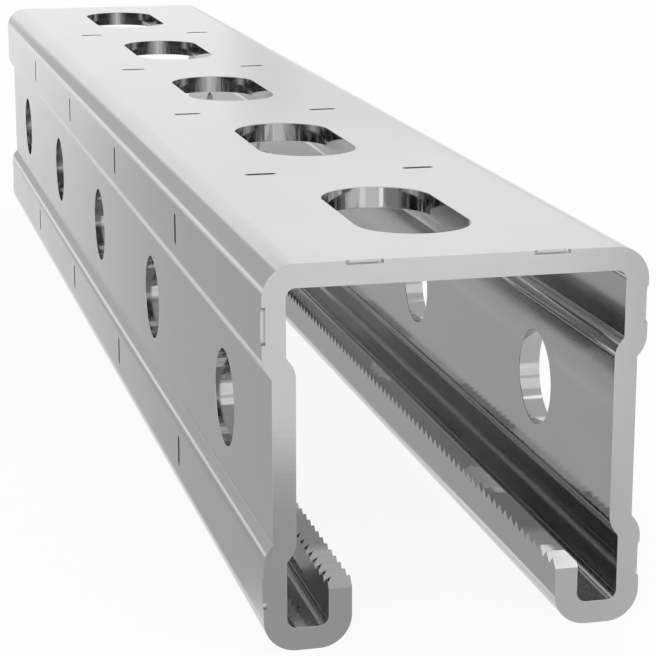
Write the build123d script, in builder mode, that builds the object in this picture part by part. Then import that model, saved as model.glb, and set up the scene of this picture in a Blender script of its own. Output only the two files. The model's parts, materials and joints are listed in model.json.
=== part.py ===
from build123d import *
from math import radians, tan
import os

# Slotted strut channel, cold rolled from one strip of steel and cut to length.
# Length runs along Y, width along X and height along Z. The slotted back is up and
# the open side, between the two serrated lips, faces down. The origin is in the
# middle of the length and the width, level with the underside of the lips.

# Strip and outside size of the section
wall = 2.5
channel_width = 41.0
channel_height = 41.0
corner_inner_radius = 1.0

# Cut length, counted in steps of the pitch at which slots, holes and marks repeat
pitch = 50.0
pitch_count = 5

# Mouth and lips, whose edges are chamfered on the inside and serrated from end to end
mouth_width = 22.2
lip_height = 7.4
lip_chamfer = 0.5
tooth_pitch = 2.0
tooth_depth = 0.95
tooth_tip_flat = 0.04

# Shallow recess rolled along the middle of each side wall
recess_depth = 1.0
recess_height = 22.0
step_angle = 40.0
step_inner_radius = 0.5

# Slots in the back and round holes in the side walls
slot_length = 27.5
slot_width = 12.8
side_hole_diameter = 11.0

# Round-ended cutting marks pressed into the outside faces on every pitch boundary
mark_length = 3.9
mark_width = 1.0
mark_depth = 0.4
mark_from_middle = 9.9
mark_from_back = 6.25
mark_from_lips = 6.75

# Sizes that follow from the ones above
length = pitch * pitch_count
half_width = channel_width / 2
half_height = channel_height / 2
tooth_count = round(length / tooth_pitch)
serration_pitch = length / tooth_count
cutter_clearance = 1.0


def outside_path():
    """Corners and radii of the strip's outside line, from lip tip to lip tip."""
    recessed = half_width - recess_depth
    bend = corner_inner_radius + wall
    step_bend = step_inner_radius + wall
    step_start = recess_height / 2 - step_bend * tan(radians(step_angle / 2))
    step_end = step_start - recess_depth / tan(radians(step_angle))
    corners = [
        (mouth_width / 2, lip_height),
        (mouth_width / 2, 0),
        (half_width, 0),
        (half_width, half_height - step_start),
        (recessed, half_height - step_end),
        (recessed, half_height + step_end),
        (half_width, half_height + step_start),
        (half_width, channel_height),
    ]
    radii = [bend, bend, step_bend, step_inner_radius, step_inner_radius, step_bend, bend]
    other_side = [(-x, z) for x, z in reversed(corners)]
    return corners + other_side, radii + radii[::-1]


def serration_outline():
    """Saw line above the lip edges, one valley at each cut end, closed over the top."""
    half_tip = tooth_tip_flat / 2
    valley = lip_height - tooth_depth
    top = lip_height + cutter_clearance
    points = [(-length / 2, top), (-length / 2, valley)]
    for tooth in range(tooth_count):
        tip = (tooth + 0.5) * serration_pitch - length / 2
        points += [
            (tip - half_tip, lip_height),
            (tip + half_tip, lip_height),
            (tip + serration_pitch / 2, valley),
        ]
    return points + [(length / 2, top)]


back_plane = Plane.XY.offset(channel_height)
right_plane = Plane(origin=(half_width, 0, 0), x_dir=(0, 0, 1), z_dir=(1, 0, 0))
left_plane = Plane(origin=(-half_width, 0, 0), x_dir=(0, 0, 1), z_dir=(-1, 0, 0))
side_mark_rows = [mark_from_lips, channel_height - mark_from_back]
marked_faces = [
    (back_plane, [-mark_from_middle, mark_from_middle]),
    (right_plane, side_mark_rows),
    (left_plane, side_mark_rows),
]

with BuildPart() as channel:
    # Rolled section: the outside line and the same line one wall further in
    with BuildSketch(Plane.XZ) as section:
        with BuildLine():
            corners, radii = outside_path()
            outside = FilletPolyline(*corners, radius=radii)
            offset(outside, amount=wall, side=Side.LEFT)
        make_face()
        lip_edges = section.vertices().group_by(lambda corner: abs(corner.Y - lip_height))[0]
        inner_edges = lip_edges.sort_by(lambda corner: abs(corner.X))[2:]
        chamfer(inner_edges, length=lip_chamfer)
    extrude(amount=length / 2, both=True)

    # Slots through the back
    with BuildSketch(back_plane):
        with GridLocations(0, pitch, 1, pitch_count):
            SlotOverall(slot_length, slot_width, rotation=90)
    extrude(amount=-wall, mode=Mode.SUBTRACT)

    # Round holes through both side walls
    with BuildSketch(Plane.YZ):
        with Locations((0, half_height)):
            with GridLocations(pitch, 0, pitch_count, 1):
                Circle(side_hole_diameter / 2)
    extrude(amount=half_width, both=True, mode=Mode.SUBTRACT)

    # Cutting marks, two rows on the back and two on each side
    for face_plane, rows in marked_faces:
        with BuildSketch(face_plane):
            with Locations(*[(row, 0) for row in rows]):
                with GridLocations(0, pitch, 1, pitch_count + 1):
                    SlotOverall(mark_length, mark_width)
        extrude(amount=-mark_depth, mode=Mode.SUBTRACT)

    # Serrated edges of both lips
    with BuildSketch(Plane.YZ):
        with BuildLine():
            Polyline(*serration_outline(), close=True)
        make_face()
    extrude(amount=mouth_width / 2 + wall + cutter_clearance, both=True, mode=Mode.SUBTRACT)

channel.part.label = "strut_channel"

os.makedirs("parts", exist_ok=True)
export_step(channel.part, "parts/strut_channel.step")
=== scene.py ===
import json
import math
from collections import namedtuple

import bmesh
import bpy
from mathutils import Euler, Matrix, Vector


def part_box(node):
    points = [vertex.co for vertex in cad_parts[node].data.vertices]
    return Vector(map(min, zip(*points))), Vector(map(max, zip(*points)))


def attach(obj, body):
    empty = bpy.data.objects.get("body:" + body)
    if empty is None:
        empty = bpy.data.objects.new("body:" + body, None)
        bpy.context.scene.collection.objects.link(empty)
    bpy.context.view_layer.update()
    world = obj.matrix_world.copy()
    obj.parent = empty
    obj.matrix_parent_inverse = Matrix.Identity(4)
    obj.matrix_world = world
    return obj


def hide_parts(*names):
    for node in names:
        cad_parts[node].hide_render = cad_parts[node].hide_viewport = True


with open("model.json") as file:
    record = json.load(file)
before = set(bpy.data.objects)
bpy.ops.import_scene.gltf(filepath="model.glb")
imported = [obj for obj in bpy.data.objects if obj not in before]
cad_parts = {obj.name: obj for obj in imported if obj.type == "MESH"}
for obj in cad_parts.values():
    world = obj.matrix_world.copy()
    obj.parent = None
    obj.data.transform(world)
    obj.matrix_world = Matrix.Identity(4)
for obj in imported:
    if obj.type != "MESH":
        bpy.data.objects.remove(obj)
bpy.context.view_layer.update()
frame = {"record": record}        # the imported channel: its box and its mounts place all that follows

# Slotted strut channel on a pale floor. The length runs along Y, the slotted back is up and
# the open side, between the two serrated lips, faces down. All lengths are in metres.

MM = 0.001
NODE = "strut_channel"
mounts = {mount["name"]: mount for mount in frame["record"]["mounts"]}

# Outside size, slots and side holes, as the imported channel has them
node_low, node_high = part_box(NODE)
length = node_high.y - node_low.y
half_width = node_high.x
height = node_high.z
slot_size = mounts["back_slot_middle"]["dims"]
slot_radius = slot_size["hole_r_mm"] * MM
slot_length = slot_size["slot_length_mm"] * MM
side_holes = [mount for name, mount in sorted(mounts.items()) if name.startswith("cross_hole")]
side_hole_radius = side_holes[0]["dims"]["r_mm"] * MM
side_hole_height = side_holes[0]["pos_m"][2]
pitch_places = [hole["pos_m"][1] for hole in side_holes]
pitch = pitch_places[1] - pitch_places[0]

# Strip and section. The sharper bends of the recess are 0.5 mm on the solid. They are less here,
# for a thinner highlight, which moves the surface by 0.02 mm at most.
wall = 2.5 * MM
corner_inner_radius = 1.0 * MM
mouth_width = 22.2 * MM
lip_height = 7.4 * MM
recess_depth = 1.0 * MM
recess_height = 22.0 * MM
step_angle = math.radians(40)
step_inner_radius = 0.5 * MM
recess_bend_radius = 0.2 * MM

# Serrated edges of the lips
tooth_pitch = 2.0 * MM
tooth_depth = 0.95 * MM
tooth_tip_flat = 0.04 * MM
lip_chamfer = 0.5 * MM
lip_chamfer_angle = math.radians(45)

# Cutting marks pressed on every pitch boundary
mark_length = 3.9 * MM
mark_width = 1.0 * MM
mark_depth = 0.4 * MM
mark_from_middle = 9.9 * MM
mark_from_back = 6.25 * MM
mark_from_lips = 6.75 * MM

# Small roundings that sawing, punching and zinc coating leave on the cut edges
end_edge_radius = 0.03 * MM
punched_edge_radius = 0.08 * MM
edge_steps = 3

# Fineness of round stretches
section_arc_step = math.radians(7)
slot_end_steps = 32
hole_steps = 64
mark_end_steps = 12

# How far a cutter stands out of what it cuts, and how a punch's cutter comes in, as shares of the
# rounded edge's radius: its opening at the top, then its opening and height just above the face
cutter_reach = 1.0 * MM
punch_top_opening = 1.2
punch_entry_opening = 1.1
punch_entry_height = 0.05

# Edges that turn more than this stay crisp, and large faces settle the shading of small ones
SHARP_ANGLE = math.radians(32)
FLAT_FACE_WEIGHT = 100

# Places of the materials on the channel, in the order of ZINC_LOOKS
SHEET, SAW_CUT, SLOT_WALL, HOLE_WALL = range(4)

# Dark and light tone of the zinc as rolled and where the steel was sawn or punched, its tone where an edge is
# rubbed bright and carries a painted highlight, and its roughness in the light tone and in the dark
ROLLED_TONES = ((0.535, 0.536, 0.539, 1), (0.565, 0.566, 0.568, 1))
CUT_TONES = ((0.525, 0.526, 0.529, 1), (0.560, 0.561, 0.563, 1))
RUBBED_AND_HIGHLIGHT_TONE = (0.585, 0.585, 0.585, 1)
ZINC_SMOOTH = 0.06
ZINC_ROUGH = 0.10

# Soft mottling and lines: features a metre along each axis, few along the way that the tool or
# the rolls worked. NOISE_RANGE is the part of a noise that is stretched to its full effect, and
# DULLNESS_RANGE the part of the way from dark to light in which rough turns to smooth.
ZINC_MOTTLING = (140.0, 60.0, 140.0)
MOTTLING_DETAIL = 3.0
LINE_DETAIL = 2.0
NOISE_RANGE = (0.3, 0.7)
DULLNESS_RANGE = (0.2, 0.8)
ZINC_LOOKS = {
    "zinc_sheet": {
        "tones": ROLLED_TONES, "lines": (1400.0, 9.0, 1400.0), "line_share": 0.35, "line_depth": 0.0003 * MM,
    },
    "zinc_saw_cut": {
        "tones": CUT_TONES, "lines": (60.0, 1400.0, 2200.0), "line_share": 0.4, "line_depth": 0.0006 * MM,
    },
    "zinc_slot_wall": {
        "tones": CUT_TONES, "lines": (1800.0, 1800.0, 60.0), "line_share": 0.6, "line_depth": 0.0008 * MM,
    },
    "zinc_hole_wall": {
        "tones": CUT_TONES, "lines": (60.0, 1800.0, 1800.0), "line_share": 0.6, "line_depth": 0.0008 * MM,
    },
}

# Rubbed edges with a painted highlight: how far from an edge, the cosines of the turn at which the rubbing
# and painted highlight start and are full, and the least that is left of them between the lines
RUBBED_AND_HIGHLIGHT_WIDTH = 0.2 * MM
RUBBING_AND_HIGHLIGHT_STARTS = 0.995
RUBBING_AND_HIGHLIGHT_FULL = 0.9
RUBBING_AND_HIGHLIGHT_LEAST = 0.5
BEVEL_SAMPLES = 4

# Floor just under the lips. Most of its white is a glow that only the camera sees, and the rest is
# lit by the studio and carries the soft shadow.
FLOOR_SIZE = 6.0
FLOOR_DROP = 0.02 * MM
FLOOR_BASE = (0.1, 0.1, 0.1, 1)
FLOOR_GLOW = 0.91

# Studio: level of the white all round and of the backdrop that the camera sees. The panels are placed
# by azimuth from +Y towards +X and by elevation, in degrees as are their half sizes and the softness
# of their edges, and a later panel lies over the earlier ones.
WHITE = (1, 1, 1, 1)
STUDIO_WHITE = 1.016
BACKDROP_WHITE = 0.985
Panel = namedtuple("Panel", "azimuth elevation half_width half_height softness level")
STUDIO_PANELS = {
    "ceiling": Panel(0, 80, 200, 38.1, 7.9, 0.62),
    "ground": Panel(0, -90, 200, 72.6, 2.8, 0.70),
    "front_low": Panel(22, -27.2, 34.8, 20.1, 10.6, 0.77),
    "left_upper": Panel(-41.6, 12.6, 33.9, 15.7, 2.7, 0.58),
    "left_high": Panel(-4.6, 25.9, 19.2, 6.8, 3.7, 0.61),
    "left_lower": Panel(-25.3, -15.4, 17.8, 7.6, 5.2, 0.48),
    "left_gap": Panel(-12.7, -23.3, 4.5, 1.4, 3.2, 1.05),
    "left_far": Panel(-76.9, -19.1, 40, 16.6, 14.2, 0.55),
    "front_right": Panel(19.9, 0.7, 8.6, 8.4, 1.4, 0.89),
    "front_pole": Panel(12.3, 4.6, 0.7, 3.9, 1.5, 0.81),
    "front_streak": Panel(15.9, 15.3, 4.3, 3.9, 5.5, 1.09),
    "back_tall": Panel(137.1, 26.5, 11.5, 39.4, 13.1, 0.72),
    "back_left": Panel(-174.8, -7, 14, 6, 5, 0.80),
    "back_window": Panel(163.7, -8.5, 4.6, 4, 5, 1.12),
    "back_low": Panel(168.4, -23.2, 6.1, 5.3, 2.4, 0.50),
    "back_bar": Panel(164.7, 14.4, 9.1, 3.6, 2.6, 0.71),
    "back_lamp": Panel(-146.6, -10.5, 13, 3.5, 3, 1.35),
    "back_right": Panel(152.1, -15.4, 6.6, 7.3, 3.2, 0.78),
    "back_softbox": Panel(136.6, 59.7, 6, 4.1, 1.1, 1.57),
    "right_low": Panel(112.8, -10.9, 35.7, 3.1, 11.8, 0.45),
}

# Camera: place, turn in degrees, and lens and sensor width in millimetres
CAMERA_PLACE = (-0.064457, -0.332806, 0.088162)
CAMERA_TURN = (75.8536, 0.0, -13.7294)
CAMERA_LENS = 120.867
CAMERA_SENSOR = 36
CAMERA_NEAREST = 0.01

# Where a Mix node keeps its first value and its result, by the kind of what it mixes
MIX_PLACES = {"FLOAT": (2, 0), "RGBA": (6, 2)}


def arc_points(start, corner, end, radius):
    """Points and left-hand normals of the arc that rounds one corner of a path."""
    before = (corner - start).normalized()
    after = (end - corner).normalized()
    turn = math.atan2(before.x * after.y - before.y * after.x, before.dot(after))
    side = math.copysign(1, turn)
    tangent_length = radius * math.tan(abs(turn) / 2)
    first = corner - before * tangent_length
    to_centre = Vector((-before.y, before.x)) * side
    centre = first + to_centre * radius
    steps = max(2, math.ceil(abs(turn) / section_arc_step))
    points = []
    for step in range(steps + 1):
        angle = turn * step / steps
        spoke = Vector((
            -to_centre.x * math.cos(angle) + to_centre.y * math.sin(angle),
            -to_centre.x * math.sin(angle) - to_centre.y * math.cos(angle),
        ))
        points.append((centre + spoke * radius, -spoke * side))
    return points


def section_line():
    """Points of the strip's outside line from lip to lip, each with the normal into the strip."""
    bend = corner_inner_radius + wall
    step_bend = step_inner_radius + wall
    recessed = half_width - recess_depth
    step_start = recess_height / 2 - step_bend * math.tan(step_angle / 2)
    step_end = step_start - recess_depth / math.tan(step_angle)
    middle = height / 2
    uncut_lip = lip_height + cutter_reach / 2
    corners = [
        ((mouth_width / 2, uncut_lip), 0),
        ((mouth_width / 2, 0), bend),
        ((half_width, 0), bend),
        ((half_width, middle - step_start), step_bend),
        ((recessed, middle - step_end), recess_bend_radius),
        ((recessed, middle + step_end), recess_bend_radius),
        ((half_width, middle + step_start), step_bend),
        ((half_width, height), bend),
    ]
    corners += [((-x, z), radius) for (x, z), radius in reversed(corners)]
    places = [Vector(place) for place, radius in corners]
    line = [(places[0], Vector((1, 0)))]
    for before, here, after, (_, radius) in zip(places, places[1:], places[2:], corners[1:]):
        line += arc_points(before, here, after, radius)
    line.append((places[-1], Vector((-1, 0))))
    return line


def rounded_edge(radius):
    """Depths below a face and how far a rounded edge stands off there, from the face down."""
    angles = [math.pi / 2 * step / edge_steps for step in range(edge_steps, -1, -1)]
    return [(radius * (1 - math.sin(angle)), radius * (1 - math.cos(angle))) for angle in angles]


def end_stations():
    """Places along the length and how far the section's edges draw in there."""
    edge = rounded_edge(end_edge_radius)
    stations = [(-length / 2 + along, inset) for along, inset in edge]
    stations += [(length / 2 - along, inset) for along, inset in reversed(edge)]
    return stations


def lip_edge(side):
    """Points from a lip's chamfered inner edge up past its tip, with the normals into the strip."""
    inner_face = mouth_width / 2 + wall
    chamfer_end = inner_face - lip_chamfer
    slant = math.tan(lip_chamfer_angle / 2)
    points = [
        ((inner_face, lip_height - lip_chamfer), (-1, -slant)),
        ((chamfer_end, lip_height), (-1, -slant)),
        ((chamfer_end, lip_height + cutter_reach / 2), (-1, 0)),
    ]
    return [(Vector((side * x, z)), Vector((side * across, up))) for (x, z), (across, up) in points]


def section_loop():
    """Closed outline of the rolled strip, each point with the normal into the strip."""
    outside = section_line()
    inside = [(point + normal * wall, -normal) for point, normal in outside]
    return outside + lip_edge(-1)[::-1] + inside[-2:0:-1] + lip_edge(1)


def join_rings(bm, rings):
    """Faces that join each ring of points to the next, each ring with the same number of points."""
    faces = []
    for ring, following in zip(rings, rings[1:]):
        for index in range(len(ring)):
            after = (index + 1) % len(ring)
            faces.append(bm.faces.new((ring[index], ring[after], following[after], following[index])))
    return faces


def add_strip(bm):
    """The rolled strip, swept along the length, with lightly rounded cut ends."""
    loop = section_loop()
    rings = []
    for along, inset in end_stations():
        outline = [point + normal * inset for point, normal in loop]
        rings.append([bm.verts.new((place.x, along, place.y)) for place in outline])
    join_rings(bm, rings)
    for ring in (rings[0], rings[-1]):
        bm.faces.new(ring).material_index = SAW_CUT
    bmesh.ops.recalc_face_normals(bm, faces=bm.faces)


def add_tube(bm, rings, material):
    """A closed solid from rings of points, all with the same number of points."""
    loops = [[bm.verts.new(place) for place in ring] for ring in rings]
    faces = [bm.faces.new(loops[0]), bm.faces.new(loops[-1])] + join_rings(bm, loops)
    for face in faces:
        face.material_index = material
    bmesh.ops.recalc_face_normals(bm, faces=faces)


def punch_profile(radius):
    """Depths below a face and how far a punch's cutter opens out there, from its top down."""
    entry = [
        (-cutter_reach, radius * punch_top_opening),
        (-radius * punch_entry_height, radius * punch_entry_opening),
    ]
    return entry + rounded_edge(radius)[1:]


def add_punch(bm, outline, place, material):
    """Cutter through a wall: outline(offset) gives the shape, place(shape point, depth) its spot."""
    profile = punch_profile(punched_edge_radius)
    stations = profile + [(wall - depth, opening) for depth, opening in reversed(profile)]
    rings = [[place(point, depth) for point in outline(opening)] for depth, opening in stations]
    add_tube(bm, rings, material)


def stadium(long, radius, end_steps):
    """Outline with straight sides and round ends, long along the second coordinate."""
    straight = long / 2 - radius
    points = []
    for end in (1, -1):
        for step in range(end_steps + 1):
            angle = math.pi * step / end_steps + (0 if end > 0 else math.pi)
            points.append((radius * math.cos(angle), end * straight + radius * math.sin(angle)))
    return points


def slot_outline(offset):
    """Outline of a slot, long along Y, grown by an offset."""
    return stadium(slot_length + 2 * offset, slot_radius + offset, slot_end_steps)


def hole_outline(offset):
    """Circle of a side hole, grown by an offset."""
    radius = side_hole_radius + offset
    turns = [2 * math.pi * step / hole_steps for step in range(hole_steps)]
    return [(radius * math.cos(turn), radius * math.sin(turn)) for turn in turns]


def add_slots(bm):
    """Cutters of the slots in the back."""
    for along in pitch_places:
        add_punch(
            bm,
            slot_outline,
            lambda point, depth: (point[0], along + point[1], height - depth),
            SLOT_WALL,
        )


def add_side_holes(bm):
    """Cutters of the round holes, each through one side wall."""
    face = half_width - recess_depth
    for side in (1, -1):
        for along in pitch_places:
            add_punch(
                bm,
                hole_outline,
                lambda point, depth: (side * (face - depth), along + point[0], side_hole_height + point[1]),
                HOLE_WALL,
            )


def add_mark(bm, place):
    """Cutter of a pressed mark, long across the channel; place(across, along, depth) puts its points."""
    outline = stadium(mark_length, mark_width / 2, mark_end_steps)
    rings = []
    for depth in (-mark_depth, mark_depth):
        rings.append([place(across, along, depth) for along, across in outline])
    add_tube(bm, rings, SHEET)


def add_marks(bm):
    """Cutters of the marks on the back and both sides, those on the cut ends half outside."""
    boundaries = [pitch_places[0] - pitch / 2 + pitch * step for step in range(len(pitch_places) + 1)]
    for boundary in boundaries:
        for middle in (-mark_from_middle, mark_from_middle):
            add_mark(bm, lambda across, along, depth: (middle + across, boundary + along, height - depth))
        for middle in (mark_from_lips, height - mark_from_back):
            for side in (1, -1):
                face = side * half_width
                add_mark(
                    bm,
                    lambda across, along, depth: (face - side * depth, boundary + along, middle + across),
                )


def add_serration(bm):
    """Saw-shaped cutter over both lips, with a valley at each cut end."""
    half_tip = tooth_tip_flat / 2
    valley = lip_height - tooth_depth
    top = lip_height + cutter_reach
    start, end = -length / 2, length / 2
    profile = [(start - cutter_reach, top), (start - cutter_reach, valley), (start, valley)]
    for tooth in range(round(length / tooth_pitch)):
        tip = start + (tooth + 0.5) * tooth_pitch
        profile += [(tip - half_tip, lip_height), (tip + half_tip, lip_height)]
        profile.append((tip + tooth_pitch / 2, valley))
    profile += [(end + cutter_reach, valley), (end + cutter_reach, top)]
    reach = mouth_width / 2 + wall + cutter_reach
    add_tube(bm, [[(across, along, up) for along, up in profile] for across in (-reach, reach)], SAW_CUT)


def mesh_object(name, *makers):
    """New object in the scene, with the mesh that the makers add up to."""
    bm = bmesh.new()
    for maker in makers:
        maker(bm)
    mesh = bpy.data.meshes.new(name)
    bm.to_mesh(mesh)
    bm.free()
    made = bpy.data.objects.new(name, mesh)
    bpy.context.scene.collection.objects.link(made)
    return made


def cut(body, cutter):
    """Subtracts the cutter from the body for good and removes the cutter."""
    modifier = body.modifiers.new("cut", "BOOLEAN")
    modifier.operation = "DIFFERENCE"
    modifier.solver = "EXACT"
    modifier.object = cutter
    bpy.context.view_layer.update()
    evaluated = body.evaluated_get(bpy.context.evaluated_depsgraph_get())
    body.data = bpy.data.meshes.new_from_object(evaluated)
    body.modifiers.clear()
    bpy.data.objects.remove(cutter)


def smooth_shading(body):
    """Smooth round stretches, crisp edges, and flat faces that stay flat."""
    body.data.polygons.foreach_set("use_smooth", [True] * len(body.data.polygons))
    body.data.set_sharp_from_angle(angle=SHARP_ANGLE)
    weighted = body.modifiers.new("weighted_normals", "WEIGHTED_NORMAL")
    weighted.keep_sharp = True
    weighted.weight = FLAT_FACE_WEIGHT


class NodeSketch:
    """Short ways to add nodes to one node tree; a value is a number or another node's output."""

    def __init__(self, tree):
        self.tree = tree

    def add(self, kind, **settings):
        node = self.tree.nodes.new(kind)
        for name, value in settings.items():
            setattr(node, name, value)
        return node

    def feed(self, socket, value):
        if isinstance(value, bpy.types.NodeSocket):
            self.tree.links.new(value, socket)
        else:
            socket.default_value = value

    def maths(self, operation, *values):
        node = self.add("ShaderNodeMath", operation=operation)
        for socket, value in zip(node.inputs, values):
            self.feed(socket, value)
        return node.outputs["Value"]

    def ramp(self, value, from_low, from_high, to_low, to_high, interpolation="LINEAR"):
        node = self.add("ShaderNodeMapRange", interpolation_type=interpolation)
        names = ("Value", "From Min", "From Max", "To Min", "To Max")
        for name, part in zip(names, (value, from_low, from_high, to_low, to_high)):
            self.feed(node.inputs[name], part)
        return node.outputs["Result"]

    def mix(self, kind, share, first, second):
        """Mix of two numbers, kind FLOAT, or of two colours, kind RGBA."""
        place, result = MIX_PLACES[kind]
        node = self.add("ShaderNodeMix", data_type=kind)
        for socket, value in zip((node.inputs[0], *node.inputs[place:place + 2]), (share, first, second)):
            self.feed(socket, value)
        return node.outputs[result]

    def noise(self, per_metre, detail):
        """Noise from 0 to 1 with so many features a metre along each axis of the piece."""
        place = self.add("ShaderNodeTexCoord").outputs["Object"]
        stretch = self.add("ShaderNodeVectorMath", operation="MULTIPLY")
        self.feed(stretch.inputs[0], place)
        self.feed(stretch.inputs[1], per_metre)
        node = self.add("ShaderNodeTexNoise")
        self.feed(node.inputs["Vector"], stretch.outputs["Vector"])
        self.feed(node.inputs["Scale"], 1.0)
        self.feed(node.inputs["Detail"], detail)
        return node.outputs["Fac"]


def steel_material(name, look):
    """Bright zinc-coated steel: soft mottling, lines along the way it was worked, rubbed edges with a painted
    highlight.
    """
    material = bpy.data.materials.new(name)
    material.use_nodes = True
    sketch = NodeSketch(material.node_tree)
    shader = material.node_tree.nodes["Principled BSDF"]
    shader.inputs["Metallic"].default_value = 1.0

    mottling = sketch.ramp(sketch.noise(ZINC_MOTTLING, MOTTLING_DETAIL), *NOISE_RANGE, 0.0, 1.0)
    lines = sketch.noise(look["lines"], LINE_DETAIL)

    # Where the surface turns within a short way, the coating is rubbed bright, and this lightening is a
    # painted edge highlight as well
    geometry = sketch.add("ShaderNodeNewGeometry")
    bevel = sketch.add("ShaderNodeBevel", samples=BEVEL_SAMPLES)
    sketch.feed(bevel.inputs["Radius"], RUBBED_AND_HIGHLIGHT_WIDTH)
    turning = sketch.add("ShaderNodeVectorMath", operation="DOT_PRODUCT")
    sketch.feed(turning.inputs[0], geometry.outputs["Normal"])
    sketch.feed(turning.inputs[1], bevel.outputs["Normal"])
    rubbed_and_highlight = sketch.ramp(turning.outputs["Value"], RUBBING_AND_HIGHLIGHT_STARTS, RUBBING_AND_HIGHLIGHT_FULL, 0.0, 1.0, "SMOOTHSTEP")
    rubbed_and_highlight = sketch.maths("MULTIPLY", rubbed_and_highlight, sketch.ramp(lines, *NOISE_RANGE, RUBBING_AND_HIGHLIGHT_LEAST, 1.0))

    tone = sketch.maths(
        "ADD",
        sketch.maths("MULTIPLY", mottling, 1 - look["line_share"]),
        sketch.maths("MULTIPLY", lines, look["line_share"]),
    )
    plain = sketch.mix("RGBA", tone, *look["tones"])
    # Base colour lightened along the edges: rubbed zinc and a painted edge highlight
    sketch.feed(shader.inputs["Base Color"], sketch.mix("RGBA", rubbed_and_highlight, plain, RUBBED_AND_HIGHLIGHT_TONE))
    dullness = sketch.ramp(tone, *DULLNESS_RANGE, ZINC_ROUGH, ZINC_SMOOTH)
    sketch.feed(shader.inputs["Roughness"], dullness)
    bump = sketch.add("ShaderNodeBump")
    sketch.feed(bump.inputs["Strength"], 1.0)
    sketch.feed(bump.inputs["Distance"], look["line_depth"])
    sketch.feed(bump.inputs["Height"], lines)
    sketch.feed(shader.inputs["Normal"], bump.outputs["Normal"])
    return material


def build_channel():
    """The channel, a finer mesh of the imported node's shape, which it stands for."""
    body = mesh_object("channel_strip", add_strip)
    for name, look in ZINC_LOOKS.items():
        body.data.materials.append(steel_material(name, look))
    cut(body, mesh_object("cutters", add_slots, add_side_holes, add_marks, add_serration))
    smooth_shading(body)
    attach(body, "root")
    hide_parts(NODE)


def build_floor():
    """White floor that keeps a soft shadow. The metal mirrors the studio's panels, not the floor."""
    bpy.ops.mesh.primitive_plane_add(size=FLOOR_SIZE, location=(0, 0, -FLOOR_DROP))
    floor = bpy.context.object
    floor.name = "floor"
    floor.visible_glossy = False
    material = bpy.data.materials.new("pale_floor")
    material.use_nodes = True
    shader = material.node_tree.nodes["Principled BSDF"]
    shader.inputs["Base Color"].default_value = FLOOR_BASE
    shader.inputs["Roughness"].default_value = 1.0
    shader.inputs["Specular IOR Level"].default_value = 0.0
    shader.inputs["Emission Color"].default_value = WHITE
    sketch = NodeSketch(material.node_tree)
    seen = sketch.add("ShaderNodeLightPath").outputs["Is Camera Ray"]
    sketch.feed(shader.inputs["Emission Strength"], sketch.maths("MULTIPLY", seen, FLOOR_GLOW))
    floor.data.materials.append(material)


def studio_level(sketch):
    """Level of the studio in the direction of a ray: white, with the soft panels laid over it."""
    direction = sketch.add("ShaderNodeSeparateXYZ")
    sketch.feed(direction.inputs[0], sketch.add("ShaderNodeTexCoord").outputs["Generated"])
    azimuth = sketch.maths("DEGREES", sketch.maths("ARCTAN2", direction.outputs["X"], direction.outputs["Y"]))
    elevation = sketch.maths("DEGREES", sketch.maths("ARCSINE", direction.outputs["Z"]))
    level = STUDIO_WHITE
    for panel in STUDIO_PANELS.values():
        turn = sketch.maths("WRAP", sketch.maths("SUBTRACT", azimuth, panel.azimuth), 180, -180)
        rise = sketch.maths("SUBTRACT", elevation, panel.elevation)
        within = [
            sketch.ramp(
                sketch.maths("ABSOLUTE", distance),
                half_size + panel.softness / 2, half_size - panel.softness / 2, 0.0, 1.0, "SMOOTHSTEP",
            )
            for distance, half_size in ((turn, panel.half_width), (rise, panel.half_height))
        ]
        level = sketch.mix("FLOAT", sketch.maths("MULTIPLY", *within), level, panel.level)
    return level


def build_world():
    """Studio that the metal mirrors and that lights it, and a plain white backdrop for the camera."""
    world = bpy.data.worlds.new("studio")
    bpy.context.scene.world = world
    world.use_nodes = True
    world.cycles.sampling_method = "NONE"        # the metal's own reflections find the panels with less grain
    sketch = NodeSketch(world.node_tree)
    surroundings = world.node_tree.nodes["Background"]
    surroundings.inputs["Color"].default_value = WHITE
    sketch.feed(surroundings.inputs["Strength"], studio_level(sketch))
    backdrop = sketch.add("ShaderNodeBackground")
    backdrop.inputs["Color"].default_value = WHITE
    backdrop.inputs["Strength"].default_value = BACKDROP_WHITE
    choice = sketch.add("ShaderNodeMixShader")
    sketch.feed(choice.inputs[0], sketch.add("ShaderNodeLightPath").outputs["Is Camera Ray"])
    sketch.feed(choice.inputs[1], surroundings.outputs[0])
    sketch.feed(choice.inputs[2], backdrop.outputs[0])
    sketch.feed(world.node_tree.nodes["World Output"].inputs["Surface"], choice.outputs[0])


def build_camera():
    """Camera at the photograph's viewing angle."""
    data = bpy.data.cameras.new("camera")
    data.sensor_width = CAMERA_SENSOR
    data.lens = CAMERA_LENS
    data.clip_start = CAMERA_NEAREST
    camera = bpy.data.objects.new("camera", data)
    camera.location = CAMERA_PLACE
    camera.rotation_euler = Euler([math.radians(turn) for turn in CAMERA_TURN])
    bpy.context.scene.collection.objects.link(camera)
    bpy.context.scene.camera = camera


build_channel()
build_floor()
build_world()
build_camera()
bpy.context.scene.view_settings.view_transform = "Standard"

# Light crosses the inside of the channel many times. The denoiser goes by the picture alone, as metal
# that mirrors this much makes its other passes noisy, and its higher qualities keep a fine grain.
bpy.context.scene.cycles.glossy_bounces = 12
bpy.context.scene.cycles.denoising_input_passes = "RGB"
bpy.context.scene.cycles.denoising_quality = "FAST"
